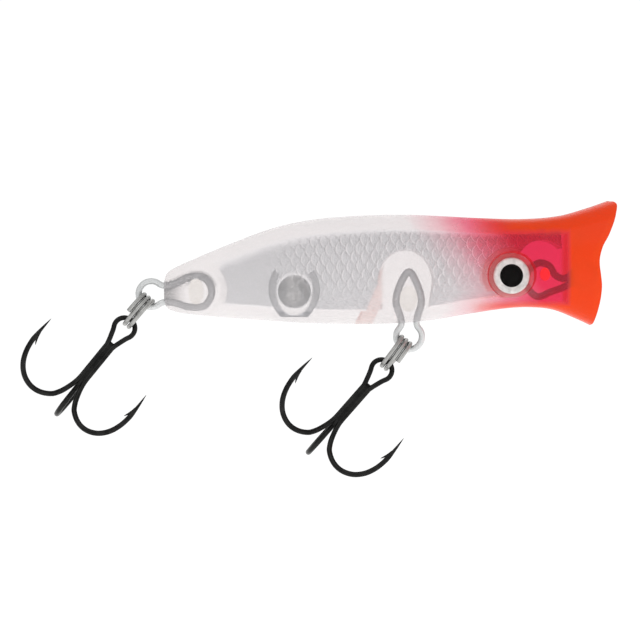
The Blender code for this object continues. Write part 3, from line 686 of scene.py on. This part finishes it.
def metal(name, dark, light, roughness, metallic=1.0, scale=6.0, crevice_shade=0.0, edge=None, **sockets):
    """Metal, or print on it: fine grain between two tones, with its roughness and relief. crevice is how
    near, in mm, other pieces must come to darken it with painted shade, and edge is a painted sheen: its
    colour where it is seen edge on."""
    material = new_material(name)
    vector = place(material)[3]
    grain = speckle(vector, scale, 6.0, 0.65)
    colour = ((speckle(vector, 0.7) - 0.5) * 0.8 + grain).ramp([(0.3, dark), (0.7, light)])
    # Painted sheen: the colour turns to edge where the surface is seen edge on.
    if edge:
        colour = edge_on(material).within(0.45, 0.95).mix(colour, edge)
    # Painted shade: the colour goes to near black where other pieces lie within crevice mm.
    if crevice_shade:
        sky = node(material, "ShaderNodeAmbientOcclusion", {"Distance": crevice_shade * MM}, samples=8)
        colour = Field(material, sky.outputs["AO"]).within(0.85, 0.45).mix(colour, (0.02, 0.02, 0.02))
    inputs = {"Base Color": colour, "Metallic": metallic} | relief_and_shine(grain, 0.08, roughness) | sockets
    return output(material, node(material, "ShaderNodeBsdfPrincipled", inputs))


def resin_material():
    material = new_material("eye_resin")
    ripple = speckle(place(material)[3], 0.8, 2.0)
    tint = ripple.ramp([(0.3, (0.975, 0.965, 0.96)), (0.7, (0.99, 0.985, 0.98))])
    hidden = edge_on(material) ** 3.0 * 0.5 + 0.004
    return veil(material, rgba((0.5, 0.44, 0.44)), tint, hidden, 0.06, 0.6, ripple)


# The body shells.


def section(x, top, bottom, half_width, points):
    """A superellipse across the body at x."""
    middle, height = (top + bottom) / 2, (top - bottom) / 2
    ring = []
    for i in range(points):
        z, y = superellipse(2 * pi * (i + 0.5) / points, SECTION_POWER)
        ring.append((x, half_width * y, middle + height * z))
    return ring


def scale_height(x, z):
    """0 at a scale's root, rising to 1 at its round free edge."""
    u, v = along_rows(x, z)
    best, height = None, 0.0
    nearest = round(v / SCALE_ROW)
    for row in range(nearest - 1, nearest + 2):
        aside = v - row * SCALE_ROW
        chord = sqrt(max(SCALE_RADIUS**2 - aside**2, 0.0))
        inside = (u + chord - (row % 2) * SCALE_PITCH / 2) % SCALE_PITCH
        centre = u + chord - inside
        if best is None or centre > best:
            best, height = centre, 1 - inside / SCALE_PITCH
    return height**1.5


def body_lines(x):
    """The body's top, bottom and half width at x."""
    return [hermite(line, x) for line in (BACK_LINE, BELLY_LINE, SIDE_LINE)]


def cavity_span(x):
    """The cavity's top, bottom and half width at x."""
    share = min(1.0, CAVITY_REAR_SHARE + (x - CAVITY_REAR) / CAVITY_REAR_TAPER)
    back, belly, side = body_lines(x)
    top, bottom = back - BACK_WALL, belly + BELLY_WALL
    middle, height = (top + bottom) / 2, (top - bottom) / 2 * share
    return middle + height, middle - height, (side - SIDE_WALL) * share


def scale_strength(x, z):
    """How plain the scales are: full on the flank, fainter at the tail, the eye, the foot and the edges."""
    top, bottom, _ = cavity_span(x)
    along = 0.25 + 0.75 * smoothstep(-46, -37, x)
    along *= 1.0 - 0.6 * smoothstep(-16, -8, x)
    low = 0.5 + 0.5 * smoothstep(-3.0, 0.0, z)
    return along * low * smoothstep(0.0, 0.5, top - z) * smoothstep(0.0, 0.5, z - bottom)


def body_loft(material):
    tail_end = [BACK_LINE[0][0] + 0.9 * (i / 12) ** 2 for i in range(13)]
    stations = tail_end + [-54.75 + 0.5 * i for i in range(120)]
    sections = [section(x, *body_lines(x), 112) for x in stations if x < BACK_LINE[-1][0]]
    return loft("body_solid", sections, material)


def cavity_loft(material):
    """The hollow, in steps fine enough for the scales on its side walls."""
    count = int((CAVITY_FRONT - CAVITY_REAR) / 0.17)
    sections = []
    for i in range(count + 1):
        x = CAVITY_REAR + (CAVITY_FRONT - CAVITY_REAR) * i / count
        top, bottom, side = cavity_span(x)
        ring = []
        for px, py, pz in section(x, top, bottom, side, 216):
            aside = smoothstep(0.35, 0.7, abs(py) / side)
            relief = scale_height(px, pz) * scale_strength(px, pz) * SCALE_RELIEF * aside
            ring.append((px, py - copysign(relief, py), pz))
        sections.append(ring)
    return loft("cavity", sections, material)


def cup_loft(material):
    depth = CUP_WIDEST - CUP_BACK
    sections = []
    shares = [(1 - cos(pi / 2 * i / 24)) for i in range(1, 25)]
    for x in [CUP_BACK + depth * share for share in shares] + [3.4, 4.4, CUP_FRONT]:
        reach = min(x, CUP_WIDEST)
        scale = sqrt(max(1 - ((CUP_WIDEST - reach) / depth) ** 2, 0.0))
        back, belly, side = body_lines(max(x, CUP_OUTLINE_FROM))
        top = CUP_AXIS_Z + (back - LIP - CUP_AXIS_Z) * scale
        bottom = CUP_AXIS_Z - (CUP_AXIS_Z - belly - LIP) * scale
        sections.append(section(x, top, bottom, (side - LIP) * scale, 96))
    return loft("mouth_cup", sections, material)


def chamber_outline():
    """A wall round the ball, open at the top, with a flat foot that runs into the belly."""
    centre, bore, outer, rise = CHAMBER_CENTRE, CHAMBER_BORE, CHAMBER_OUTER, CHAMBER_RISE
    downs = [3.3 * i / 10 for i in range(1, 11)]
    foot_half, foot_z = outer - CHAMBER_CURVE * downs[-1] ** 2, centre[1] - outer - 1.5
    arm = ellipse(centre, (outer, outer + rise), 38, 0, 14)
    arm += [(centre[0] + outer - CHAMBER_CURVE * down**2, centre[1] - down) for down in downs]
    arm.append((centre[0] + foot_half, foot_z))
    bore_bottom = ellipse(centre, (bore, bore), 180, 360, 40)[1:-1]
    bore_side = ellipse(centre, (bore, bore + rise), 0, 40, 10)
    other_arm, other_side = ([(2 * centre[0] - x, z) for x, z in half[::-1]] for half in (arm, bore_side))
    return arm + other_arm + other_side + bore_bottom + bore_side


def bosses(materials):
    """Every boss that stays solid across the cavity: outline, material and draft."""
    tail = ellipse(TAIL_BOSS_CENTRE, (TAIL_BOSS_RADIUS, TAIL_BOSS_RADIUS))
    belly = ellipse((-24.0, -0.9), (3.6, 4.2), 180, 0, 40)
    belly += [(-20.8, -3.4), (-20.8, -8.0), (-27.0, -8.0), (-27.0, -3.4)]
    nose = ellipse((-5.9, 1.4), (3.3, 3.3), 180, 40, 30) + [(-2.4, 3.2), (-2.4, -6.0), (-8.3, -6.0)]
    return {
        "tail_boss": (tail, materials["boss_side"], 0.03),
        "belly_boss": (belly, materials["boss_side"], 0.03),
        "nose_boss": (nose, materials["boss_side"], 0.0),
        "slanted_rib": (RIB_OUTLINE, materials["rib_side"], 0.05),
        "rattle_chamber": (chamber_outline(), materials["chamber_side"], 0.0),
    }


def boolean(target, other, operation="DIFFERENCE"):
    cut = target.modifiers.new(other.name, "BOOLEAN")
    cut.operation = operation
    cut.solver = "MANIFOLD"
    cut.material_mode = "TRANSFER"
    cut.object = other


def evaluated_mesh(item):
    graph = bpy.context.evaluated_depsgraph_get()
    return bpy.data.meshes.new_from_object(item.evaluated_get(graph), depsgraph=graph)


def mark_scales(mesh, slot):
    """Writes to the cavity wall's points how far the wall shows, its foot, and how plain its scales are."""
    wall = {i for polygon in mesh.polygons if polygon.material_index == slot for i in polygon.vertices}
    share, foot, scales = (mesh.attributes.new(name, "FLOAT", "POINT") for name in WALL_SHARES)
    for i in wall:
        x, y, z = (c / MM for c in mesh.vertices[i].co)
        top, bottom, side = cavity_span(x)
        scales.data[i].value = scale_strength(x, z) * smoothstep(0.12, 0.4, abs(y) / side)
        fade = 0.9 + 0.7 * smoothstep(-22, -42, x)
        share.data[i].value = max(smoothstep(-0.1, fade, top - z), smoothstep(-13, -9, x))
        # The foot share places a painted highlight line along the wall's foot.
        foot.data[i].value = (1 - smoothstep(0.1, 0.34, z - bottom)) * (1 - smoothstep(-12, -9, x))


def make_shells(materials, wires):
    solid = body_loft(materials["outer_skin"])
    cavity = cavity_loft(materials["cavity_wall"])
    cutters = [solid, cavity]
    for name, (outline, material, draft) in bosses(materials).items():
        boss = prism(name, outline, -OUTSIDE_Y, OUTSIDE_Y, material, draft)
        boolean(cavity, boss)
        cutters.append(boss)
    eye_low, eye_high = (Vector(p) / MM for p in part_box("right_eye_dome"))
    centre = ((eye_low.x + eye_high.x) / 2, (eye_low.z + eye_high.z) / 2)
    floor = -(Vector(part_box("right_eye_foil")[1]) / MM).y - 0.04
    for side in (-1, 1):
        ends = ((side * y, radius) for y, radius in SOCKET_BOSS)
        boss = cone("socket_boss", centre, *ends, materials["socket_rim"])
        boolean(cavity, boss)
        cutters.append(boss)
    hollow = new_object("hollow", evaluated_mesh(cavity))
    cup = cup_loft(materials["outer_skin"])
    ahead, reach = 9.0, 12.0
    around = [(RIM[-1][0], -reach), (ahead, -reach), (ahead, reach), (RIM[0][0], reach)]
    rim = prism("rim_cut", smooth_path(RIM) + around, -OUTSIDE_Y, OUTSIDE_Y, materials["outer_skin"])
    channels = [
        wire(f"{name}_channel", path, WIRE_RADIUS + GROOVE_CLEARANCE, materials["wire_channel"])
        for name, path in wires.items()
    ]
    cutters += [hollow, cup, rim, *channels]
    for name, cad, side in (("right_shell", "right_body_shell", -1), ("left_shell", "left_body_shell", 1)):
        shell = new_object(name, solid.data.copy())
        box_outline = [(-70, -20), (20, -20), (20, 20), (-70, 20)]
        ends = sorted((side * WELD_GAP / 2, side * 20))
        half = prism("half", box_outline, *ends, materials["weld_face"])
        boolean(shell, half, "INTERSECT")
        socket = cone("socket", centre, (side * floor, SOCKET_RADIUS), (side * OUTSIDE_Y, SOCKET_MOUTH),
                      materials["socket_rim"])
        seat = cone("seat", centre, (side * (floor - 0.02), SEAT_RADIUS), (side * (floor + 0.3), SEAT_RADIUS),
                    materials["eye_socket"])
        cutters += [half, socket, seat]
        for cutter in (hollow, rim, cup, socket, seat, *channels):
            boolean(shell, cutter)
        for pin, (middle, axes) in PINS.items():
            grow = 0.0 if side < 0 else PIN_CLEARANCE
            outline = ellipse(middle, [axis + grow for axis in axes], steps=40)
            peg = prism(pin, outline, -PIN_ROOT, PIN_REACH + grow, materials["locating_pin"])
            boolean(shell, peg, "UNION" if side < 0 else "DIFFERENCE")
            cutters.append(peg)
        mesh = evaluated_mesh(shell)
        shell.modifiers.clear()
        shell.data = mesh
        mesh.shade_smooth()
        mesh.set_sharp_from_angle(angle=radians(40))
        mark_scales(mesh, mesh.materials.find("cavity_wall"))
        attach(shell, "body")
        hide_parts(cad)
    for cutter in cutters:
        bpy.data.objects.remove(cutter, do_unlink=True)


# Eyes, ball, rings and hooks.


def turned(name, profile, place_on, materials, split=None):
    """A solid turned about +Z from an (r, z) profile. Inside radius split, its top takes material 1."""
    bm = bmesh.new()
    angles = [2 * pi * k / 64 for k in range(64)]
    rings = []
    for r, z in profile:
        points = [(r * cos(a), r * sin(a), z) for a in angles] if r else [(0, 0, z)]
        rings.append([bm.verts.new(Vector(p) * MM) for p in points])
    bridge(bm, rings)
    if split:
        for face in bm.faces:
            middle = face.calc_center_median()
            face.material_index = int(hypot(middle.x, middle.y) < split * MM and middle.z > 0)
    bmesh.ops.transform(bm, matrix=place_on, verts=bm.verts)
    return finish_mesh(name, bm, *materials)


def make_eyes(foil, pupil, resin):
    for side_name, side in (("right", -1), ("left", 1)):
        low, high = (Vector(p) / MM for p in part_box(f"{side_name}_eye_foil"))
        turn = Matrix.Rotation(-side * pi / 2, 4, "X")
        centre = Vector(((low.x + high.x) / 2, high.y if side < 0 else low.y, (low.z + high.z) / 2))
        put = Matrix.Translation(centre * MM) @ turn
        top = FOIL_THICKNESS
        profile = [(0, top), (0.8, top), (PUPIL_RADIUS, top), (1.7, top), (2.1, top + 0.02), (2.32, top),
                   (FOIL_RADIUS, top / 2), (FOIL_RADIUS, 0), (0, 0)]
        disc = turned(f"{side_name}_foil", profile, put, [foil, pupil], split=PUPIL_RADIUS)
        low, high = (Vector(p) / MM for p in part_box(f"{side_name}_eye_dome"))
        centre.y = high.y if side < 0 else low.y
        put = Matrix.Translation(centre * MM) @ turn
        angles = [pi / 2 * i / 20 for i in range(1, 21)]
        arc = [(DOME_RADIUS * sin(a), DOME_EDGE + DOME_RISE * cos(a)) for a in angles]
        profile = [(0, DOME_EDGE + DOME_RISE), *arc, (DOME_RADIUS - 0.05, 0.0), (0, 0)]
        dome = turned(f"{side_name}_dome", profile, put, [resin])
        for piece, cad, slot in ((disc, "foil", "eye_foil"), (dome, "dome", "eye_resin")):
            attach(piece, "body")
            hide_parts(f"{side_name}_eye_{cad}")


def make_ball(material):
    low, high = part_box("rattle_ball")
    bm = bmesh.new()
    bmesh.ops.create_icosphere(bm, subdivisions=5, radius=(high.z - low.z) / 2)
    bmesh.ops.translate(bm, verts=bm.verts, vec=(low + high) / 2)
    ball = finish_mesh("steel_ball", bm, material)
    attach(ball, "ball")
    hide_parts("rattle_ball")


def make_wires(material):
    """The three hangers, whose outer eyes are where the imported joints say. Returns their paths."""
    paths = {"line_tie_wire": looped((0, 0), LINE_TIE_AXES, *LINE_TIE_ARC, NOSE_LOOP)[0]}
    for name, loop, facing in (("belly", BELLY_LOOP, 90), ("tail", TAIL_LOOP, 0)):
        x, _, z = (c / MM for c in JOINTS[f"{name}_ring_swing"]["pos_m"])
        half = EYE_OPENINGS[name] / 2
        ends = facing + 360 - half, facing + half
        paths[f"{name}_hanger"] = eased(*looped((x, z), (EYE_RADIUS, EYE_RADIUS), *ends, loop))
    for name, path in paths.items():
        piece = wire(f"{name}_bent", path, WIRE_RADIUS, material)
        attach(piece, "body")
        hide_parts(name)
    return paths


def ring_frame(name):
    """The frame of a hook set: origin at the hanger's eye, X through the ring, -Z to the ring's centre."""
    eye = Vector(JOINTS[f"{name}_ring_swing"]["pos_m"]) / MM
    centre = Vector(JOINTS[f"{name}_hook_swing"]["pos_m"]) / MM
    across = Vector(JOINTS[f"{name}_hook_swing"]["axis"]).normalized()
    drop = (centre - eye).length
    up = (eye - centre).normalized()
    turn = Matrix((across, up.cross(across), up)).transposed().to_4x4()
    return Matrix.Translation(eye) @ turn, drop


def placed(matrix, path):
    return [matrix @ Vector(p) for p in path]


def make_ring(name, hand, material):
    at, drop = ring_frame(name)
    path, steps = [], 280
    for i in range(steps + 1):
        degrees = RING_START + (RING_END - RING_START) * i / steps
        a = radians(degrees)
        across = hand * (degrees - 360) / 360 * RING_PITCH
        path.append((across, -RING_RADIUS * sin(a), -drop + RING_RADIUS * cos(a)))
    across = at.to_3x3() @ Vector((1, 0, 0))
    ring = wire(f"{name}_ring_coil", placed(at, path), RING_WIRE, material, closed=False,
                squareness=RING_SQUARENESS, across=across, flatness=RING_FLATNESS)
    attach(ring, f"{name}_ring")
    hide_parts(f"{name}_split_ring")


def prong(direction, offset):
    path = []
    for r, z in smooth_path([(0.0, SHANK_END), *BEND]):
        share = min(r / PRONG_LEAVES_SHANK, 1.0)
        x = offset[0] * (1 - share) + direction[0] * r
        y = offset[1] * (1 - share) + direction[1] * r
        path.append((x, y, z))
    return path


def hook_eye_path():
    centre = -HOOK_EYE_DROP
    arc = ellipse((0, centre), (HOOK_EYE_ARC, HOOK_EYE_ARC), 205, -25, 44)
    neck = [(-0.62, SHANK_TOP + 0.75), (-1.02, centre - 1.15)]
    left = smooth_path([(-SHANK_OFFSET, SHANK_TOP), *neck, arc[0]])
    right = [(-x, z) for x, z in reversed(left)]
    return [(x, 0.0, z) for x, z in [*left[:-1], *arc, *right[1:]]]


def needle(path, ends):
    """Radii along a hook's wire, which sharpens to a point at the named ends."""
    radii = []
    tips = [Vector(path[end]) for end in ends]
    for p in path:
        distance = min((Vector(p) - tip).length for tip in tips)
        share = min(distance / POINT_LENGTH, 1.0)
        forged = 1 + FORGING * smoothstep(SHANK_END - 1.0, SHANK_END - 4.0, p[2])
        radii.append(HOOK_WIRE * forged * (0.05 + 0.95 * share**0.85))
    return radii


def barb(line, end, direction):
    """A spur cut up from the inner side of the point, as a path and its radii."""
    ordered = [Vector(p) for p in (line if end == 0 else line[::-1])]
    inward = Vector((-direction[0], -direction[1], 0))
    path, radii = [], []
    for i in range(9):
        t = i / 8
        reach = BARB_ROOT + (BARB_TIP - BARB_ROOT) * t
        base = next(p for p in ordered if (p - ordered[0]).length >= reach)
        path.append(base + inward * (BARB_SUNK + (HOOK_WIRE + BARB_RISE - BARB_SUNK) * t**1.2))
        radii.append(BARB_RADIUS * (1 - t) ** 0.6 + BARB_TIP_RADIUS)
    return path, radii


def shank_web():
    """The braze that fills the grooves between the three shanks, as rings down the shank."""
    rings = []
    for i in range(41):
        z = BRAZE_TOP + (BRAZE_END - BRAZE_TOP) * i / 40
        saddle = smoothstep(BRAZE_TOP, BRAZE_TOP - BRAZE_SADDLE, z)
        tail = 0.25 + 0.75 * smoothstep(BRAZE_END, BRAZE_END + BRAZE_TAIL, z)
        spread = BRAZE_SPREAD + BRAZE_FLARE * smoothstep(SHANK_TOP - 0.4, BRAZE_TOP, z)
        front = (BRAZE_CORE + BRAZE_FRONT * saddle) * tail
        back = (BRAZE_CORE + BRAZE_BACK * saddle) * tail
        ring = []
        for k in range(48):
            a = 2 * pi * k / 48
            c, s = cos(a), sin(a)
            flat = copysign(abs(c) ** 0.6, c)
            if s < 0:
                ring.append((flat * spread, -front * abs(s) ** 0.5, z))
            else:
                ring.append((flat * spread * (1 - 0.5 * s * saddle), back * s**0.8, z))
        rings.append(ring)
    return rings


def make_hook(name, material):
    at, drop = ring_frame(name)
    contact = Matrix.Translation((0, 0, -RING_RADIUS))
    hook_at = (
        at
        @ Matrix.Translation((0, 0, -drop))
        @ Matrix.Rotation(radians(HOOK_LEAN), 4, "X")
        @ contact
        @ Matrix.Rotation(radians(HOOK_EXTRA_TRAIL[name]), 4, "Y")
        @ contact.inverted()
    )
    ways = {key: (cos(radians(a)), sin(radians(a))) for key, a in PRONG_ANGLES.items()}
    double = prong(ways["left"], (-SHANK_OFFSET, 0))[::-1] + hook_eye_path()
    double += prong(ways["right"], (SHANK_OFFSET, 0))
    single = [(0, REAR_SHANK, SHANK_TOP - HOOK_WIRE), (0, REAR_SHANK, (SHANK_TOP + SHANK_END) / 2)]
    single += prong(ways["rear"], (0, REAR_SHANK))
    builds = {
        "double": (double, [0, -1], [("left", 0), ("right", -1)]),
        "single": (single, [-1], [("rear", -1)]),
    }
    for kind, (line, tips, barbs) in builds.items():
        bm = bmesh.new()
        sweep(bm, placed(hook_at, line), needle(line, tips), WIRE_SIDES)
        for way, end in barbs:
            spur, radii = barb(line, end, ways[way])
            sweep(bm, placed(hook_at, spur), radii, sides=12)
        piece = finish_mesh(f"{name}_hook_{kind}", bm, material, sharp=50)
        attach(piece, f"{name}_treble")
        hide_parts(f"{name}_treble_{kind}")
    web = loft(f"{name}_hook_braze", [placed(hook_at, ring) for ring in shank_web()], material)
    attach(web, f"{name}_treble")


# Stage, light and camera.


def make_stage():
    """The lamps, and a broad white floor, which glows so that its edge doesn't show against the sky."""
    material = new_material("floor_paper")
    tone = speckle(place(material)[3], 0.02).ramp([(0.3, 0.9), (0.7, 0.94)])
    inputs = {"Base Color": tone, "Roughness": 0.9, "Emission Color": WHITE, "Emission Strength": FLOOR_GLOW}
    output(material, node(material, "ShaderNodeBsdfPrincipled", inputs))
    bm = bmesh.new()
    bmesh.ops.create_circle(bm, cap_ends=True, segments=96, radius=FLOOR_RADIUS * MM)
    bmesh.ops.translate(bm, verts=bm.verts, vec=Vector((VIEW_CENTRE[0], 0, FLOOR_Z)) * MM)
    floor = finish_mesh("floor", bm, material)
    for name, (position, size, power) in LAMPS.items():
        data = bpy.data.lights.new(name, "AREA")
        data.shape, data.energy = "RECTANGLE", power
        data.size, data.size_y = (side * MM for side in size)
        lamp = new_object(name, data)
        lamp.location = Vector(position) * MM
        towards = Vector((VIEW_CENTRE[0], 0, 0)) - Vector(position)
        lamp.rotation_euler = towards.to_track_quat("-Z", "Y").to_euler()


def make_world():
    """White to the eye, and a softer grey for what it lights and what mirrors it."""
    world = bpy.data.worlds.new("studio")
    world.use_nodes = True
    world.node_tree.nodes.clear()
    camera_ray = node(world, "ShaderNodeLightPath").outputs["Is Camera Ray"]
    lights, seen = (
        node(world, "ShaderNodeBackground", {"Color": WHITE, "Strength": strength}).outputs[0]
        for strength in (SKY_LIGHT, SKY_SEEN)
    )
    mixed = node(world, "ShaderNodeMixShader", {0: camera_ray, 1: lights, 2: seen})
    node(world, "ShaderNodeOutputWorld", {"Surface": mixed.outputs[0]})
    bpy.context.scene.world = world


def make_camera():
    data = bpy.data.cameras.new("camera")
    data.sensor_width = SENSOR
    data.lens = SENSOR * CAMERA_DISTANCE / VIEW_WIDTH
    data.clip_start, data.clip_end = 0.01, 10.0
    camera = new_object("camera", data)
    camera.location = Vector((VIEW_CENTRE[0], -CAMERA_DISTANCE, VIEW_CENTRE[1])) * MM
    camera.rotation_euler = (pi / 2, 0, 0)
    scene = bpy.context.scene
    scene.camera = camera
    scene.view_settings.view_transform = "Standard"
    scene.cycles.use_denoising = True
    scene.cycles.transparent_max_bounces = 32


def build():
    make_camera()
    make_world()
    make_stage()
    steel = metal("hanger_steel", (0.6, 0.61, 0.61), (0.74, 0.75, 0.75), 0.55, scale=5.0, metallic=0.75)
    # Painted shade darkens the ring between its turns.
    ring_steel = metal("ring_steel", (0.33, 0.33, 0.32), (0.5, 0.5, 0.485), 0.42, scale=8.0, metallic=0.85,
                       crevice_shade=0.5)
    # The black nickel's lighter edge colour is a painted sheen.
    nickel = metal("black_nickel", (0.012, 0.012, 0.012), (0.03, 0.03, 0.029), 0.34, scale=7.0,
                   edge=(0.1, 0.1, 0.098), **{"Specular Tint": (0.75, 0.75, 0.75, 1)})
    ball_steel = metal("ball_steel", (0.2, 0.19, 0.185), (0.36, 0.35, 0.34), 0.14, scale=2.0)
    foil = metal("eye_foil", (0.6, 0.59, 0.58), (0.92, 0.915, 0.91), 0.45, scale=1.2, metallic=0.7)
    pupil = metal("pupil_print", (0.002, 0.002, 0.002), (0.005, 0.005, 0.005), 0.5, metallic=0.0, scale=4.0,
                  **{"Specular IOR Level": 0.03})
    plastics = {name: clear_surface(name, *looks, **more) for name, (*looks, more) in PLASTICS.items()}
    make_shells(plastics, make_wires(steel))
    make_eyes(foil, pupil, resin_material())
    make_ball(ball_steel)
    for name, hand in (("belly", 1), ("tail", -1)):
        make_ring(name, hand, ring_steel)
        make_hook(name, nickel)


build()
